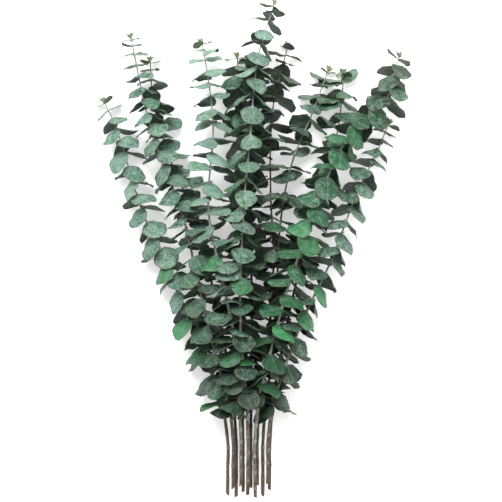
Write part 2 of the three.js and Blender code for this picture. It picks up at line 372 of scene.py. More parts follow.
def addBump(tree, shader, relief, strength, depth):
    bump = addNode(tree, "ShaderNodeBump", {"Strength": strength, "Distance": depth, "Height": relief})
    tree.links.new(bump.outputs[0], shader.inputs["Normal"])


def newMaterial(name):
    material = bpy.data.materials.new(name)
    material.use_nodes = True
    return material, material.node_tree, material.node_tree.nodes["Principled BSDF"]


def geometryTree(name, inputs):
    tree = bpy.data.node_groups.new(name, "GeometryNodeTree")
    tree.interface.new_socket("Geometry", in_out="INPUT", socket_type="NodeSocketGeometry")
    tree.interface.new_socket("Geometry", in_out="OUTPUT", socket_type="NodeSocketGeometry")
    for label, kind in inputs.items():
        tree.interface.new_socket(label, in_out="INPUT", socket_type=kind)
    return tree, tree.nodes.new("NodeGroupInput"), tree.nodes.new("NodeGroupOutput")


def named(tree, name, kind="FLOAT"):
    return addNode(tree, "GeometryNodeInputNamedAttribute", {"Name": name}, data_type=kind).outputs[0]


def grow(name, source, tree, values):
    # runs a tree on a source mesh and keeps the result as a plain mesh
    carrier = bpy.data.objects.new(name + "_source", source)
    scene.collection.objects.link(carrier)
    modifier = carrier.modifiers.new("grow", "NODES")
    modifier.node_group = tree
    sockets = {item.name: item.identifier for item in tree.interface.items_tree if item.in_out == "INPUT"}
    for label, value in values.items():
        modifier[sockets[label]] = value
    depsgraph = bpy.context.evaluated_depsgraph_get()
    mesh = bpy.data.meshes.new_from_object(carrier.evaluated_get(depsgraph), depsgraph=depsgraph)
    bpy.data.objects.remove(carrier)
    mesh.name = name
    piece = bpy.data.objects.new(name, mesh)
    scene.collection.objects.link(piece)
    return piece


# the leaf's finish: a waxy green blade with pale veins under a powdery bloom

leafFinish = {
    "bloom": (0.180, 0.290, 0.230),
    "paleBloom": (0.350, 0.450, 0.385),
    "vein": (0.125, 0.210, 0.135),
    # the underside's dark colour is partly painted shade
    "underside": (0.026, 0.040, 0.029),
    "undersideBloom": (0.185, 0.222, 0.190),
    "margin": (0.110, 0.085, 0.045),
    "youth": (0.360, 0.390, 0.240),
    "darkPatch": (0.62, 0.66, 0.62),  # of the leaf's own green
    "patchSize": 6.0 * mm,
    "patchEdge": (0.3, 0.65),
    "grainSize": 1.6 * mm,
    "grainContrast": 5.2,
    "grainShare": 0.62,      # of the wear, and the rest follows the patches
    "bloomCover": 0.9,
    "salt": 0.75,            # pale specks where the grain is highest
    "saltEdge": (0.55, 0.70),
    "midribWidth": 0.07,     # of half the leaf's width
    "veinPairs": 8.0,
    "veinSlope": 0.55,
    "veinWidth": 0.13,
    "veinFade": (0.55, 1.0),
    "sideVeins": 0.45,       # of the midrib's strength
    "veinStrength": 0.4,
    "rays": 3.4,             # main veins that fan out from the joint, per radian
    "rayWidth": (0.02, 0.22),
    "rayReach": (0.12, 0.62),
    "rayStrength": 0.85,
    "rayCentre": 0.02,       # how far before the joint they would meet
    "starReach": (0.02, 0.20),  # the bloom is thickest round the joint
    "starWidth": 0.10,       # how much sooner it ends at the sides
    "starFrost": (0.6, 0.35),   # with the leaf's own bloom, and without
    "undersideGreen": 0.6,
    "undersideDust": (0.5, 0.36),  # with the leaf's own bloom, and without
    "undersideEdge": (0.44, 0.60),
    "undersideVeins": 0.35,
    "undersideVeinShade": 0.6,
    "rimWidth": (0.80, 1.0),
    "rimPatches": (0.35, 0.6),
    "rimStrength": 0.55,
    "youthStrength": 0.8,
    "roughness": (0.46, 0.82),  # bare and powdery
    "specular": 0.35,
    "bumpStrength": 0.55,
    "bumpDepth": 0.5 * mm,
    "relief": (0.5, 0.5, 1.2),  # of the grain, the veins and the patches
}


def veinLines(tree, across, along):
    # the midrib and the side veins that leave it
    side = math2(tree, "ABSOLUTE", across)
    midrib = inverse(tree, ramp(tree, side, 0.0, leafFinish["midribWidth"]))
    rise = math2(tree, "MULTIPLY", side, leafFinish["veinSlope"])
    steps = math2(tree, "MULTIPLY", math2(tree, "SUBTRACT", along, rise), leafFinish["veinPairs"])
    line = math2(tree, "PINGPONG", steps, 0.5)
    branches = inverse(tree, ramp(tree, line, 0.0, leafFinish["veinWidth"]))
    fading = inverse(tree, ramp(tree, side, *leafFinish["veinFade"]))
    branches = math2(tree, "MULTIPLY", branches, fading)
    return math2(tree, "MAXIMUM", midrib, math2(tree, "MULTIPLY", branches, leafFinish["sideVeins"]))


def jointStar(tree, across, along, frost):
    # the pale joint and the rays that fan out from it
    aside = math2(tree, "MULTIPLY", math2(tree, "ABSOLUTE", across), leafFinish["starWidth"])
    fromBase = math2(tree, "ADD", along, aside)
    star = inverse(tree, ramp(tree, fromBase, *leafFinish["starReach"]))
    sideways = math2(tree, "MULTIPLY", across, 0.5)  # in leaf widths, as across runs from -1 to 1
    bearing = math2(tree, "ARCTAN2", sideways, math2(tree, "ADD", along, leafFinish["rayCentre"]))
    ray = math2(tree, "PINGPONG", math2(tree, "MULTIPLY", bearing, leafFinish["rays"]), 0.5)
    rays = inverse(tree, ramp(tree, ray, *leafFinish["rayWidth"]))
    rays = math2(tree, "MULTIPLY", rays, inverse(tree, ramp(tree, fromBase, *leafFinish["rayReach"])))
    star = math2(tree, "MAXIMUM", star, math2(tree, "MULTIPLY", rays, leafFinish["rayStrength"]))
    withFrost, without = leafFinish["starFrost"]
    thickness = math2(tree, "ADD", math2(tree, "MULTIPLY", frost, withFrost), without)
    return math2(tree, "MULTIPLY", star, thickness)


def makeLeafMaterial():
    material, tree, shader = newMaterial("eucalyptusLeaf")
    place = addNode(tree, "ShaderNodeTexCoord").outputs["Object"]
    leafMap = addNode(tree, "ShaderNodeUVMap", uv_map="leafMap").outputs[0]
    onLeaf = addNode(tree, "ShaderNodeSeparateXYZ", {0: leafMap})
    across = multiplyAdd(tree, onLeaf.outputs[0], 2.0, -1.0)
    along = onLeaf.outputs[1]
    patches = noise(tree, place, 1 / leafFinish["patchSize"], 3.0, 0.6)
    grain = noise(tree, place, 1 / leafFinish["grainSize"], 3.0, 0.65)
    veins = veinLines(tree, across, along)

    # the blade itself, darker and lighter in patches and paler on its veins
    green = attribute(tree, "leafGreen", "Color")
    dark = scaled(tree, green, leafFinish["darkPatch"])
    blade = mixColours(tree, ramp(tree, patches, *leafFinish["patchEdge"]), dark, green)
    veinShare = math2(tree, "MULTIPLY", veins, leafFinish["veinStrength"])
    blade = mixColours(tree, veinShare, blade, rgba(leafFinish["vein"]))

    # bloom gathers in grains and rubs off in patches, and lies thickest where the leaf leaves the stem
    frost = attribute(tree, "leafFrost")
    ofGrain = math2(tree, "MULTIPLY", grain, leafFinish["grainShare"])
    wear = math2(tree, "ADD", ofGrain, math2(tree, "MULTIPLY", patches, 1 - leafFinish["grainShare"]))
    swing = math2(tree, "MULTIPLY", math2(tree, "SUBTRACT", wear, 0.5), leafFinish["grainContrast"])
    dusted = math2(tree, "ADD", frost, swing, clamp=True)
    dusted = math2(tree, "MULTIPLY", dusted, leafFinish["bloomCover"])
    bloom = mixColours(tree, veins, rgba(leafFinish["bloom"]), rgba(leafFinish["paleBloom"]))
    # the bloom's lightness differs from leaf to leaf, and is darker low in the bunch as painted shade
    bloom = scaled(tree, bloom, attribute(tree, "leafLit"))
    upper = mixColours(tree, dusted, blade, bloom)
    saltShare = math2(tree, "MULTIPLY", frost, leafFinish["salt"])
    salt = math2(tree, "MULTIPLY", ramp(tree, grain, *leafFinish["saltEdge"]), saltShare)
    upper = mixColours(tree, salt, upper, rgba(leafFinish["paleBloom"]))
    upper = mixColours(tree, jointStar(tree, across, along, frost), upper, rgba(leafFinish["paleBloom"]))

    # the underside is duller, and darker in part as painted shade, with the veins standing out
    under = mixColours(tree, leafFinish["undersideGreen"], rgba(leafFinish["underside"]), dark)
    withFrost, without = leafFinish["undersideDust"]
    dustShare = math2(tree, "ADD", math2(tree, "MULTIPLY", frost, withFrost), without)
    dustUnder = math2(tree, "MULTIPLY", ramp(tree, wear, *leafFinish["undersideEdge"]), dustShare)
    under = mixColours(tree, dustUnder, under, rgba(leafFinish["undersideBloom"]))
    veinShare = math2(tree, "MULTIPLY", veins, leafFinish["undersideVeins"])
    under = mixColours(tree, veinShare, under, rgba(leafFinish["vein"], leafFinish["undersideVeinShade"]))

    # both sides together, with a browned margin and the yellow of young leaves
    isUpper = ramp(tree, attribute(tree, "leafSide"), 0.3, 0.7)
    colour = mixColours(tree, isUpper, under, upper)
    rim = ramp(tree, attribute(tree, "leafRim"), *leafFinish["rimWidth"])
    rim = math2(tree, "MULTIPLY", rim, ramp(tree, patches, *leafFinish["rimPatches"]))
    rim = math2(tree, "MULTIPLY", rim, leafFinish["rimStrength"])
    colour = mixColours(tree, rim, colour, rgba(leafFinish["margin"]))
    youth = math2(tree, "MULTIPLY", attribute(tree, "leafYouth"), leafFinish["youthStrength"])
    colour = mixColours(tree, youth, colour, rgba(leafFinish["youth"]))
    tree.links.new(colour, shader.inputs["Base Color"])

    bare, powdery = leafFinish["roughness"]
    roughness = multiplyAdd(tree, dusted, powdery - bare, bare)
    tree.links.new(roughness, shader.inputs["Roughness"])
    shares = zip((grain, veins, patches), leafFinish["relief"])
    first, second, third = [math2(tree, "MULTIPLY", part, share) for part, share in shares]
    relief = math2(tree, "ADD", math2(tree, "ADD", first, second), third)
    addBump(tree, shader, relief, leafFinish["bumpStrength"], leafFinish["bumpDepth"])
    shader.inputs["Specular IOR Level"].default_value = leafFinish["specular"]
    return material


leafMaterial = makeLeafMaterial()


# the leaf blades: a few shapes of dried blade, one unit long and one wide, that every leaf
# is picked from

bladeSettings = {
    "rows": 7,
    "columns": 4,
    "root": -0.035,       # the blade starts inside the stem
    "thickness": 0.017,
    "outline": 0.96,      # below 1 the sides are fuller than a circle's
    "archCurve": 1.7,
    "roofCurve": 1.4,
    "waveCurve": 1.5,
    "pointStart": 0.7,    # how far along the tip begins to narrow
    "pointPull": 6,
    "waves": 1.6,         # along each margin
    "waveShift": 0.23,    # from one shape to the next
    "waveStarts": (-0.6, 1.1),  # of the left and the right margin
    "waveWidth": 0.04,
}

# arch drops the tip, roof drops both sides from the midrib or lifts them where it is negative,
# pleat raises the middle of both halves, wave and twist bend the margins, ovate widens the base and
# point draws out the tip, with one row for each shape
bladeTraits = ("arch", "roof", "pleat", "wave", "twist", "ovate", "point")
bladeKinds = [
    (0.10, 0.08, 0.030, 0.030, 0.05, 0.08, 0.02),
    (0.05, -0.10, 0.000, 0.030, -0.06, 0.00, 0.00),
    (0.18, 0.10, 0.055, 0.035, -0.04, 0.11, 0.04),
    (-0.04, 0.10, 0.000, 0.020, 0.08, -0.10, 0.00),
    (0.10, 0.26, 0.045, 0.045, 0.00, 0.08, 0.03),
    (0.12, -0.04, 0.035, 0.040, 0.10, 0.05, 0.00),
    (0.03, 0.08, 0.000, 0.050, -0.10, 0.13, 0.04),
    (0.15, 0.11, 0.020, 0.030, 0.03, -0.05, 0.02),
]


def bladePoint(kind, share, out, number):
    # share runs from the base to the tip by angle, out from one margin (-1) to the other (1)
    along = (1 - math.cos(math.pi * share)) / 2
    pulled = bladeSettings["pointPull"] * max(along - bladeSettings["pointStart"], 0)
    halfWidth = 0.5 * math.sin(math.pi * share) ** bladeSettings["outline"]
    halfWidth *= 1 + kind["ovate"] * (1 - 2 * along) - kind["point"] * pulled
    turns = bladeSettings["waves"] * along + bladeSettings["waveShift"] * number
    ripple = math.sin(2 * math.pi * turns + bladeSettings["waveStarts"][out > 0])
    lift = -kind["arch"] * along ** bladeSettings["archCurve"]
    lift -= kind["roof"] * abs(out) ** bladeSettings["roofCurve"] * halfWidth * 2
    lift += kind["wave"] * ripple * abs(out) ** bladeSettings["waveCurve"]
    lift += kind["twist"] * out * along
    lift += kind["pleat"] * (1 - abs(2 * abs(out) - 1)) * along
    width = halfWidth * (1 + bladeSettings["waveWidth"] * ripple)
    y = bladeSettings["root"] + (1 - bladeSettings["root"]) * along
    return Vector((out * width, y, lift)), along


def makeBlade(number, kind):
    rows, columns = bladeSettings["rows"], bladeSettings["columns"]
    bm = bmesh.new()
    layers = {name: bm.verts.layers.float.new(name) for name in ("leafSide", "leafRim", "leafAlong")}
    uvLayer = bm.loops.layers.uv.new("leafMap")
    where = {}

    def addRow(share, side):
        ends = share in (0, 1)
        row = []
        for j in range(columns + 1):
            if ends and j:
                row.append(row[0])
                continue
            out = 0 if ends else 2 * j / columns - 1
            point, along = bladePoint(kind, share, out, number)
            vert = bm.verts.new(point - Vector((0, 0, bladeSettings["thickness"] * (1 - side))))
            vert[layers["leafSide"]] = side
            vert[layers["leafRim"]] = 1 if ends else abs(out)
            vert[layers["leafAlong"]] = along
            where[vert] = (out, along)
            row.append(vert)
        return row

    top = [addRow(i / rows, 1) for i in range(rows + 1)]
    bottom = [addRow(i / rows, 0) for i in range(rows + 1)]

    def addFace(*corners):
        face = bm.faces.new(list(dict.fromkeys(corners)))  # the corners at an end are one point
        face.smooth = True
        for loop in face.loops:
            out, along = where[loop.vert]
            loop[uvLayer].uv = (0.5 + 0.5 * out, along)

    for i in range(rows):
        for j in range(columns):
            addFace(top[i][j], top[i][j + 1], top[i + 1][j + 1], top[i + 1][j])
            addFace(bottom[i][j], bottom[i + 1][j], bottom[i + 1][j + 1], bottom[i][j + 1])
        addFace(top[i][0], top[i + 1][0], bottom[i + 1][0], bottom[i][0])
        addFace(top[i + 1][-1], top[i][-1], bottom[i][-1], bottom[i + 1][-1])
    for edge in bm.edges:
        sameSide = len({round(v[layers["leafSide"]]) for v in edge.verts}) == 1
        onRim = all(v[layers["leafRim"]] > 0.99 for v in edge.verts)
        edge.smooth = not (sameSide and onRim)  # the thin edge of the blade stays crisp
    mesh = bpy.data.meshes.new(f"leafBlade{number}")
    bm.to_mesh(mesh)
    bm.free()
    return bpy.data.objects.new(f"leafBlade{number}", mesh)


bladeCollection = bpy.data.collections.new("leafBlades")
for number, values in enumerate(bladeKinds):
    bladeCollection.objects.link(makeBlade(number, dict(zip(bladeTraits, values))))
print("made", len(bladeKinds), "blade shapes")


# scattering the leaves: a blade on every leaf's place, crinkled as it dried

leafSettings = {
    "Crinkle": 1.3 * mm,
    "Crinkle Size": 9 * mm,
    "Ruffle": 0.25 * mm,
    "Ruffle Size": 3.2 * mm,
    "Surface Gap": 0.25 * mm,
    "Thickness": 0.4 * mm,
    "Seed": 5.0,
}
crinkleGain = 2.6  # the noise keeps near its middle, so it is drawn out to full depth


def makeLeafTree():
    inputs = {label: "NodeSocketFloat" for label in leafSettings}
    inputs.update({"Blades": "NodeSocketCollection", "Material": "NodeSocketMaterial"})
    tree, given, result = geometryTree("leafScatter", inputs)
    blades = addNode(
        tree, "GeometryNodeCollectionInfo",
        {"Collection": given.outputs["Blades"], "Separate Children": True, "Reset Children": True},
    )
    turn = addNode(tree, "FunctionNodeEulerToRotation", {0: named(tree, "leafTurn", "FLOAT_VECTOR")})
    placed = addNode(
        tree, "GeometryNodeInstanceOnPoints",
        {
            "Points": given.outputs["Geometry"], "Instance": blades.outputs[0], "Pick Instance": True,
            "Instance Index": named(tree, "leafKind", "INT"), "Rotation": turn.outputs[0],
            "Scale": named(tree, "leafScale", "FLOAT_VECTOR"),
        },
    )
    real = addNode(tree, "GeometryNodeRealizeInstances", {0: placed.outputs[0]}).outputs[0]

    # the blade is pushed along its own upward direction, more towards the tip and the margins
    place = addNode(tree, "GeometryNodeInputPosition").outputs[0]
    push = None
    for depth, mask in (("Crinkle", "leafAlong"), ("Ruffle", "leafRim")):
        wave = addNode(
            tree, "ShaderNodeTexNoise",
            {
                "Vector": place, "W": given.outputs["Seed"], "Detail": 1.0,
                "Scale": math2(tree, "DIVIDE", 1.0, given.outputs[depth + " Size"]),
            },
            noise_dimensions="4D",
        )
        swing = math2(tree, "MULTIPLY", math2(tree, "SUBTRACT", wave.outputs[0], 0.5), crinkleGain)
        reach = math2(tree, "MULTIPLY", named(tree, mask), given.outputs[depth])
        part = math2(tree, "MULTIPLY", swing, reach)
        part = math2(tree, "MULTIPLY", part, named(tree, "leafGrown"))
        push = part if push is None else math2(tree, "ADD", push, part)
    offset = scaled(tree, named(tree, "leafUp", "FLOAT_VECTOR"), push)
    bent = addNode(tree, "GeometryNodeSetPosition", {"Geometry": real, "Offset": offset})

    # what would sink below the surface rests on it
    place = addNode(tree, "GeometryNodeInputPosition").outputs[0]
    spot = addNode(tree, "ShaderNodeSeparateXYZ", {0: place})
    lift = math2(tree, "MULTIPLY", named(tree, "leafSide"), given.outputs["Thickness"])
    lowest = math2(tree, "ADD", lift, given.outputs["Surface Gap"])
    height = math2(tree, "MAXIMUM", spot.outputs[2], lowest)
    rested = addNode(tree, "ShaderNodeCombineXYZ", {0: spot.outputs[0], 1: spot.outputs[1], 2: height})
    laid = addNode(
        tree, "GeometryNodeSetPosition", {"Geometry": bent.outputs[0], "Position": rested.outputs[0]}
    )
    finished = addNode(
        tree, "GeometryNodeSetMaterial",
        {"Geometry": laid.outputs[0], "Material": given.outputs["Material"]},
    )
    tree.links.new(finished.outputs[0], result.inputs[0])
    return tree


leafTree = makeLeafTree()


def pointMesh(name, points, attributes):
    # loose points that carry one value each of every attribute
    mesh = bpy.data.meshes.new(name)
    mesh.from_pydata([point["place"] for point in points], [], [])
    for label, (kind, field) in attributes.items():
        layer = mesh.attributes.new(label, kind, "POINT")
        values = [point[label] for point in points]
        flat = values if field == "value" else [x for value in values for x in value]
        layer.data.foreach_set(field, flat)
    return mesh


budSettings = {
    # how far each pair leans from the stem, its length and its width as a share of that
    "pairs": ((40, 6.6 * mm, 0.66), (26, 5.2 * mm, 0.6), (10, 3.6 * mm, 0.5)),
    "turn": 0.5,     # radians round the stem
    "sunk": 0.5,     # share of the length that starts below the tip
    "youth": 0.75,
    "evenness": 0.6,  # the least of that youth a bud leaf has
}


def budLeaves(sprig):
    # the folded leaves round the growing tip, which are too small for the frame
    tip = sprig["places"][-1]
    side = tip["along"].cross(Vector((0, 0, 1))).normalized()
    leaves = []
    for turn, (lean, length, share) in enumerate(budSettings["pairs"]):
        for half in (0, 1):
            around = math.pi * (half + turn / 2) + budSettings["turn"]
            outwards = Matrix.Rotation(around, 3, tip["along"]) @ side
            swing = math.radians(lean)
            midline = (tip["along"] * math.cos(swing) + outwards * math.sin(swing)).normalized()
            across = tip["along"].cross(outwards).normalized()
            leaves.append({
                "base": tip["centre"] - tip["along"] * length * budSettings["sunk"],
                "midline": midline, "across": across, "upper": across.cross(midline),
                "length": length, "width": length * share,
                "place": len(sprig["places"]) - 1, "bud": True,
            })
    return leaves


# the leaves near the growing tip are young and pale and larger than in the frame, and on one
# sprig they are darker
tipSettings = {
    "youth": (0.1, 0.6),
    "youthReach": 10 * mm,
    "filled": 0.30,
    "fillReach": 30 * mm,
    "shadeReach": 95 * mm,
}

# the leaves low in the bunch are greener and with less bloom, and their green and bloom are darker there as
# painted shade
shadedLeaves = {
    "green": (0.008, 0.038, 0.015),
    "frost": 0.24,           # share of the sprig's own
    "bloom": 0.44,           # how light its bloom is
    "lit": (0.20, 0.66),     # where along the stem the shade ends
    "fresh": (0.024, 0.135, 0.048),
    "freshShare": 0.12,      # of them that stayed bright all the same
    "freshFrost": 0.3,
}

# how one leaf differs from the next: shade, palest and dullest are given low in the bunch and high
leafVariety = {
    "green": 0.85,           # of the sprig's own, high in the bunch
    "shade": (1.5, 1.0),     # how far its lightness strays, in spreads
    "warmth": 0.15,
    "frost": (-1.1, 0.9),    # how far the amount of bloom strays, in spreads
    "palest": (1.4, 1.2),    # how light its bloom can be
    "dullest": (0.55, 0.70),
    "fullSize": 24 * mm,     # smaller leaves crinkle less
}


def between(pair, share):
    return pair[0] + (pair[1] - pair[0]) * share


def leafColours(look, fromTip, height, chance):
    # the green of one leaf, how much bloom lies on it and how light that bloom is
    # lit runs from 0 low in the bunch, where the green and the bloom carry painted shade, to 1 where that
    # shade ends
    shadeEnds, lightStarts = shadedLeaves["lit"]
    lit = min(max((height - shadeEnds) / (lightStarts - shadeEnds), 0), 1)
    shade = 1 + look["spread"] * chance.uniform(-1, 1) * between(leafVariety["shade"], lit)
    warm = chance.uniform(-leafVariety["warmth"], leafVariety["warmth"])
    green = [
        shade * tint * between((low, leafVariety["green"] * own), lit)
        for tint, low, own in zip((1 + warm, 1, 1 - warm), shadedLeaves["green"], look["green"])
    ]
    fresh = lit < 1 and chance.random() < shadedLeaves["freshShare"]
    if fresh:
        green = [shade * c for c in shadedLeaves["fresh"]]
    atTip = math.exp(-((fromTip / tipSettings["shadeReach"]) ** 2))
    tipShade = between((1, look.get("tipShade", 1)), atTip)
    frost = look["frost"] * between((shadedLeaves["frost"], 1), lit)
    frost *= 1 + look["spread"] * chance.uniform(*leafVariety["frost"])
    if fresh:
        frost *= shadedLeaves["freshFrost"]
    return [tipShade * c for c in green], min(max(frost, 0), 1), lit


def leafPoint(sprig, look, leaf, chance):
    # everything one leaf's point carries
    upright = Matrix((leaf["across"], leaf["midline"], leaf["upper"])).transposed()
    fromTip = sprig["length"] - sprig["places"][leaf["place"]]["distance"]
    youth = math.exp(-fromTip / tipSettings["youthReach"]) * chance.uniform(*tipSettings["youth"])
    if leaf.get("bud"):
        youth = budSettings["youth"] * chance.uniform(budSettings["evenness"], 1)
    green, frost, lit = leafColours(look, fromTip, 1 - fromTip / sprig["length"], chance)
    filled = 1 + tipSettings["filled"] * math.exp(-fromTip / tipSettings["fillReach"])
    width, length = filled * leaf["width"], filled * leaf["length"]
    size = (width + length) / 2
    kind = chance.randrange(len(bladeKinds))
    dullest, palest = between(leafVariety["dullest"], lit), between(leafVariety["palest"], lit)
    return {
        "place": leaf["base"],
        "leafTurn": tuple(upright.to_euler()),
        "leafScale": (width, length, size),
        "leafUp": tuple(leaf["upper"]),
        "leafKind": kind,
        "leafGreen": (*green, 1.0),
        "leafFrost": frost,
        "leafYouth": youth,
        "leafLit": between((shadedLeaves["bloom"], 1), lit) * chance.uniform(dullest, palest),
        "leafGrown": min(size / leafVariety["fullSize"], 1),
    }


leafAttributes = {
    "leafTurn": ("FLOAT_VECTOR", "vector"),
    "leafScale": ("FLOAT_VECTOR", "vector"),
    "leafUp": ("FLOAT_VECTOR", "vector"),
    "leafKind": ("INT", "value"),
    "leafGreen": ("FLOAT_COLOR", "color"),
    "leafFrost": ("FLOAT", "value"),
    "leafYouth": ("FLOAT", "value"),
    "leafLit": ("FLOAT", "value"),
    "leafGrown": ("FLOAT", "value"),
}


def makeLeaves(sprig):
    look = sprigLooks[sprig["name"]]
    chance = random.Random(look["seed"])
    grown = [leafPoint(sprig, look, leaf, chance) for leaf in sprig["leaves"] + budLeaves(sprig)]
    source = pointMesh(sprig["name"] + "_points", grown, leafAttributes)
    values = dict(leafSettings, Blades=bladeCollection, Material=leafMaterial)
    return grow(sprig["name"] + "_leaves", source, leafTree, values)


# the stem's finish: brown bark that greys towards the cut, with bloom round the nodes

stemFinish = {
    "old": (0.115, 0.085, 0.062),
    "oldUntil": (0.25, 0.05),    # along the stem, from bark to greyed bark
    "bloom": (0.350, 0.400, 0.350),
    "streaks": (700, 70, 700),   # across, along and up, per metre
    "streakEdge": (0.35, 0.62),
    "streakShade": (0.50, 0.48, 0.46),
    "speckSize": 0.9 * mm,
    "nodeBloom": 0.25,
    "bloomStrength": 0.6,
    "bloomEdge": (0.62, 0.95),
    "bloomCover": 0.8,
    "roughness": 0.72,
    "specular": 0.35,
    "bumpStrength": 0.6,
    "bumpDepth": 0.35 * mm,
    "speckRelief": 0.3,
}
woodFinish = {
    "wood": (0.560, 0.430, 0.270),
    "darkWood": 0.6,
    "pith": (0.330, 0.210, 0.110),
    "pithEdge": (0.4, 0.9),
    "fibreSize": 0.5 * mm,
    "fibreEdge": (0.35, 0.65),
    "roughness": 0.8,
    "bumpStrength": 0.5,
    "bumpDepth": 0.2 * mm,
}


def makeStemMaterial():
    material, tree, shader = newMaterial("eucalyptusStem")
    place = addNode(tree, "ShaderNodeTexCoord").outputs["Object"]
    stretched = addNode(tree, "ShaderNodeMapping", {"Vector": place, "Scale": stemFinish["streaks"]})
    streaks = noise(tree, stretched.outputs[0], 1.0, 4.0, 0.6)
    specks = noise(tree, place, 1 / stemFinish["speckSize"], 2.0)
    bark = attribute(tree, "stemBark", "Color")
    aged = ramp(tree, attribute(tree, "stemAlong"), *stemFinish["oldUntil"])
    worn = mixColours(tree, aged, bark, rgba(stemFinish["old"]))
    dark = scaled(tree, worn, stemFinish["streakShade"])
    colour = mixColours(tree, ramp(tree, streaks, *stemFinish["streakEdge"]), dark, worn)
    atNode = math2(tree, "MULTIPLY", attribute(tree, "stemNode"), stemFinish["nodeBloom"])
    dust = math2(tree, "ADD", attribute(tree, "stemBloom"), atNode)
    halfStreaks = math2(tree, "MULTIPLY", streaks, 0.5)
    cover = math2(tree, "ADD", math2(tree, "MULTIPLY", specks, 0.5), halfStreaks)
    cover = math2(tree, "ADD", cover, math2(tree, "MULTIPLY", dust, stemFinish["bloomStrength"]))
    dusted = math2(tree, "MULTIPLY", ramp(tree, cover, *stemFinish["bloomEdge"]), stemFinish["bloomCover"])
    colour = mixColours(tree, dusted, colour, rgba(stemFinish["bloom"]))
    tree.links.new(colour, shader.inputs["Base Color"])
    relief = math2(tree, "ADD", math2(tree, "MULTIPLY", specks, stemFinish["speckRelief"]), streaks)
    addBump(tree, shader, relief, stemFinish["bumpStrength"], stemFinish["bumpDepth"])
    shader.inputs["Roughness"].default_value = stemFinish["roughness"]
    shader.inputs["Specular IOR Level"].default_value = stemFinish["specular"]
    return material


def makeWoodMaterial():
    material, tree, shader = newMaterial("cutWood")
    place = addNode(tree, "ShaderNodeTexCoord").outputs["Object"]
    fibres = noise(tree, place, 1 / woodFinish["fibreSize"], 3.0)
    pith = ramp(tree, attribute(tree, "stemPith"), *woodFinish["pithEdge"])
    dark, pale = rgba(woodFinish["wood"], woodFinish["darkWood"]), rgba(woodFinish["wood"])
    wood = mixColours(tree, ramp(tree, fibres, *woodFinish["fibreEdge"]), dark, pale)
    colour = mixColours(tree, pith, wood, rgba(woodFinish["pith"]))
    tree.links.new(colour, shader.inputs["Base Color"])
    addBump(tree, shader, fibres, woodFinish["bumpStrength"], woodFinish["bumpDepth"])
    shader.inputs["Roughness"].default_value = woodFinish["roughness"]
    return material


stemMaterial = makeStemMaterial()
woodMaterial = makeWoodMaterial()


# the stems: a round profile swept along each sprig's centre line, thicker at every node

stemSettings = {
    "sides": 10,
    "step": 1.7 * mm,
    "girth": 0.86,           # of the frame's corner radius
    "nodeSwelling": 0.34,
    "nodeReach": 1.5 * mm,
    "scarSpacing": 16.5 * mm,  # between the leaf scars of the bare part
    "scarSpread": (0.85, 1.2),
    "scarSwelling": 0.2,
    "bumps": 0.05,           # slow changes in girth
    "bumpLength": 5.3 * mm,
    "bloomRise": 2.2,        # how steeply the bloom thickens towards the tip
    "bareBloom": (0.3, 3),   # its share at the cut, and how fast it grows from there
    "bluntTip": 0.5,         # of the stem's radius there
}


def smoothPoint(points, i, share):
    # Catmull-Rom between points i and i + 1
    a, b, c, d = (points[min(max(i + k, 0), len(points) - 1)] for k in (-1, 0, 1, 2))
    s2, s3 = share * share, share ** 3
    return 0.5 * (2 * b + (c - a) * share + (2 * a - 5 * b + 4 * c - d) * s2 + (3 * b - a - 3 * c + d) * s3)


def scarPlaces(firstNode, chance):
    # where leaves have dropped off the bare part, from the lowest leaf down
    scars = []
    distance = firstNode - stemSettings["scarSpacing"]
    while distance > stemSettings["scarSpacing"] / 2:
        scars.append(distance)
        distance -= stemSettings["scarSpacing"] * chance.uniform(*stemSettings["scarSpread"])
    return scars


def closeness(distance, spots):
    # 1 on a node or a scar and 0 away from them all
    return max([math.exp(-((distance - spot) / stemSettings["nodeReach"]) ** 2) for spot in spots] + [0])


def stemSamples(sprig, look, chance):
    places = sprig["places"]
    centres = [place["centre"] for place in places]
    nodes = [place["distance"] for place in places if place["leafy"]]
    scars = scarPlaces(nodes[0], chance)
    wobble = chance.uniform(0, 10)
    bloom = look["stemBloom"]
    atCut, rise = stemSettings["bareBloom"]
    samples = []
    for i in range(len(places) - 1):
        first, second = places[i], places[i + 1]
        count = max(2, round((second["distance"] - first["distance"]) / stemSettings["step"]))
        for k in range(count + (i == len(places) - 2)):
            share = k / count
            distance = between((first["distance"], second["distance"]), share)
            radius = between((first["radius"], second["radius"]), share)
            height = distance / sprig["length"]
            atNode, atScar = closeness(distance, nodes), closeness(distance, scars)
            swelling = 1 + stemSettings["nodeSwelling"] * atNode + stemSettings["scarSwelling"] * atScar
            swelling += stemSettings["bumps"] * math.sin(distance / stemSettings["bumpLength"] + wobble)
            dust = between((bloom, 1), height ** stemSettings["bloomRise"])
            samples.append({
                "place": smoothPoint(centres, i, share),
                "stemRadius": radius * stemSettings["girth"] * swelling,
                "stemAlong": height,
                "stemNode": max(atNode, atScar),
                "stemBloom": bloom * dust * min(atCut + rise * height, 1),
                "stemBark": (*look["bark"], 1.0),
            })
    samples[-1]["stemRadius"] *= stemSettings["bluntTip"]
    return samples


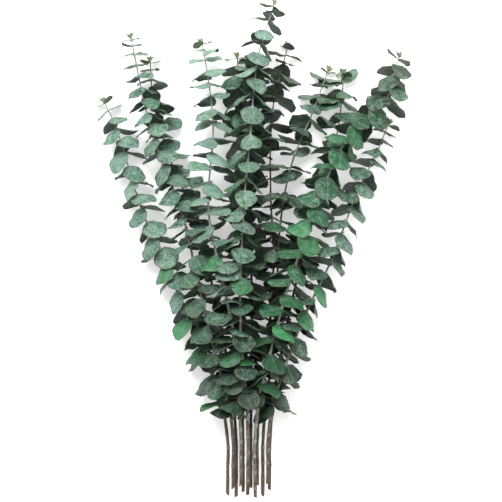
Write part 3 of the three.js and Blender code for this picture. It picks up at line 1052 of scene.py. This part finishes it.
def makeStemTree():
    tree, given, result = geometryTree(
        "stemSweep", {"Sides": "NodeSocketInt", "Material": "NodeSocketMaterial"}
    )
    path = addNode(tree, "GeometryNodeMeshToCurve", {"Mesh": given.outputs["Geometry"]})
    circle = addNode(
        tree, "GeometryNodeCurvePrimitiveCircle", {"Resolution": given.outputs["Sides"], "Radius": 1.0}
    )
    swept = addNode(
        tree, "GeometryNodeCurveToMesh",
        {
            "Curve": path.outputs[0], "Profile Curve": circle.outputs[0],
            "Scale": named(tree, "stemRadius"), "Fill Caps": True,
        },
    )
    smooth = addNode(tree, "GeometryNodeSetShadeSmooth", {"Geometry": swept.outputs[0]})
    real = addNode(tree, "GeometryNodeRealizeInstances", {0: smooth.outputs[0]})
    finished = addNode(
        tree, "GeometryNodeSetMaterial",
        {"Geometry": real.outputs[0], "Material": given.outputs["Material"]},
    )
    tree.links.new(finished.outputs[0], result.inputs[0])
    return tree


stemTree = makeStemTree()
stemAttributes = {
    "stemRadius": ("FLOAT", "value"),
    "stemAlong": ("FLOAT", "value"),
    "stemNode": ("FLOAT", "value"),
    "stemBloom": ("FLOAT", "value"),
    "stemBark": ("FLOAT_COLOR", "color"),
}


# the cut end, in radii of the stem: the bark's edge, the wood inside it and the sunken pith
cutSettings = {
    "slant": 0.9,
    "lowestSide": (-0.4, 1),
    "bark": {"thickness": 0.16, "depth": -0.05},
    "wood": {"thickness": 0.52, "depth": 0},
    "pith": {"thickness": 0.1, "depth": -0.06},
}


def insetCap(bm, cap, radius, layer):
    sizes = {name: share * radius for name, share in cutSettings[layer].items()}
    bmesh.ops.inset_region(bm, faces=[cap], **sizes)


def finishCut(stem, sprig, chance):
    # a slanted cut that shows bark, wood and pith
    start = sprig["places"][0]
    slope = Vector((chance.uniform(-1, 1), 0, chance.uniform(*cutSettings["lowestSide"]))).normalized()
    bm = bmesh.new()
    bm.from_mesh(stem.data)
    bmesh.ops.remove_doubles(bm, verts=bm.verts, dist=readSettings["mergeDistance"])
    pithLayer = bm.verts.layers.float.new("stemPith")
    cap = min((f for f in bm.faces if len(f.verts) > 4), key=lambda f: f.calc_center_median().y)
    for vert in cap.verts:
        vert.co += start["along"] * (vert.co - start["centre"]).dot(slope) * cutSettings["slant"]
    radius = start["radius"] * stemSettings["girth"]
    insetCap(bm, cap, radius, "bark")
    for layer in ("wood", "pith"):
        insetCap(bm, cap, radius, layer)
        for face in {f for v in cap.verts for f in v.link_faces} | {cap}:
            face.material_index = 1
            face.smooth = False
    for vert in cap.verts:
        vert[pithLayer] = 1
    bm.to_mesh(stem.data)
    bm.free()
    stem.data.materials.append(woodMaterial)


stemSeedShift = 100  # keeps a stem's draws apart from its leaves'


def makeStem(sprig):
    look = sprigLooks[sprig["name"]]
    chance = random.Random(look["seed"] + stemSeedShift)
    samples = stemSamples(sprig, look, chance)
    source = pointMesh(sprig["name"] + "_line", samples, stemAttributes)
    source.edges.add(len(samples) - 1)
    source.edges.foreach_set("vertices", [n for i in range(len(samples) - 1) for n in (i, i + 1)])
    values = {"Sides": stemSettings["sides"], "Material": stemMaterial}
    stem = grow(sprig["name"] + "_stem", source, stemTree, values)
    finishCut(stem, sprig, chance)
    return stem


for sprig in sprigs:
    for piece, slot in ((makeLeaves(sprig), "eucalyptus_leaf"), (makeStem(sprig), "eucalyptus_stem")):
        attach(piece, "root")
        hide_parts(sprig["name"])
    print("grew", sprig["name"], "with", len(sprig["leaves"]), "leaves")

for blade in list(bladeCollection.objects):
    bpy.data.objects.remove(blade)
bpy.data.collections.remove(bladeCollection)


# the surface that the bunch lies on, the lights and the camera

studio = {
    "floorSize": 6.0,
    "floor": (0.90, 0.90, 0.895),
    "floorCloud": 0.985,   # the darkest part of the floor's faint clouding
    "floorGlow": 0.45,     # lifts the shadows, as a lit table does
    "cameraHeight": 2.2,
    "lens": 141,
    "viewCentre": (-0.00165, 0.0001),
    "sky": 0.62,
    "key": {"energy": 87, "size": 1.6, "place": (-0.40, 1.45, 1.8)},
    "fill": {"energy": 14, "size": 2.0, "place": (1.3, -0.2, 1.7)},
}


def makeFloor():
    half = studio["floorSize"] / 2
    corners = [(-half, -half, 0), (half, -half, 0), (half, half, 0), (-half, half, 0)]
    mesh = bpy.data.meshes.new("floor")
    mesh.from_pydata(corners, [], [(0, 1, 2, 3)])
    material, tree, shader = newMaterial("paleFloor")
    place = addNode(tree, "ShaderNodeTexCoord").outputs["Object"]
    cloud = noise(tree, place, 2.0)
    colour = mixColours(tree, cloud, rgba(studio["floor"], studio["floorCloud"]), rgba(studio["floor"]))
    tree.links.new(colour, shader.inputs["Base Color"])
    shader.inputs["Roughness"].default_value = 0.9
    shader.inputs["Emission Color"].default_value = (1, 1, 1, 1)
    shader.inputs["Emission Strength"].default_value = studio["floorGlow"]
    mesh.materials.append(material)
    floor = bpy.data.objects.new("floor", mesh)
    scene.collection.objects.link(floor)


def makeLight(name, settings):
    light = bpy.data.lights.new(name, "AREA")
    light.energy = settings["energy"]
    light.size = settings["size"]
    lamp = bpy.data.objects.new(name, light)
    lamp.location = settings["place"]
    lamp.rotation_euler = (-Vector(settings["place"])).to_track_quat("-Z", "Y").to_euler()
    scene.collection.objects.link(lamp)


makeFloor()
makeLight("keyLight", studio["key"])
makeLight("fillLight", studio["fill"])
world = bpy.data.worlds.new("studio")
world.use_nodes = True
world.node_tree.nodes["Background"].inputs["Strength"].default_value = studio["sky"]
world.node_tree.nodes["Background"].inputs["Color"].default_value = (1, 1, 1, 1)
scene.world = world

camera = bpy.data.objects.new("camera", bpy.data.cameras.new("camera"))
camera.location = (*studio["viewCentre"], studio["cameraHeight"])
camera.data.lens = studio["lens"]
scene.collection.objects.link(camera)
scene.camera = camera
print("studio ready")
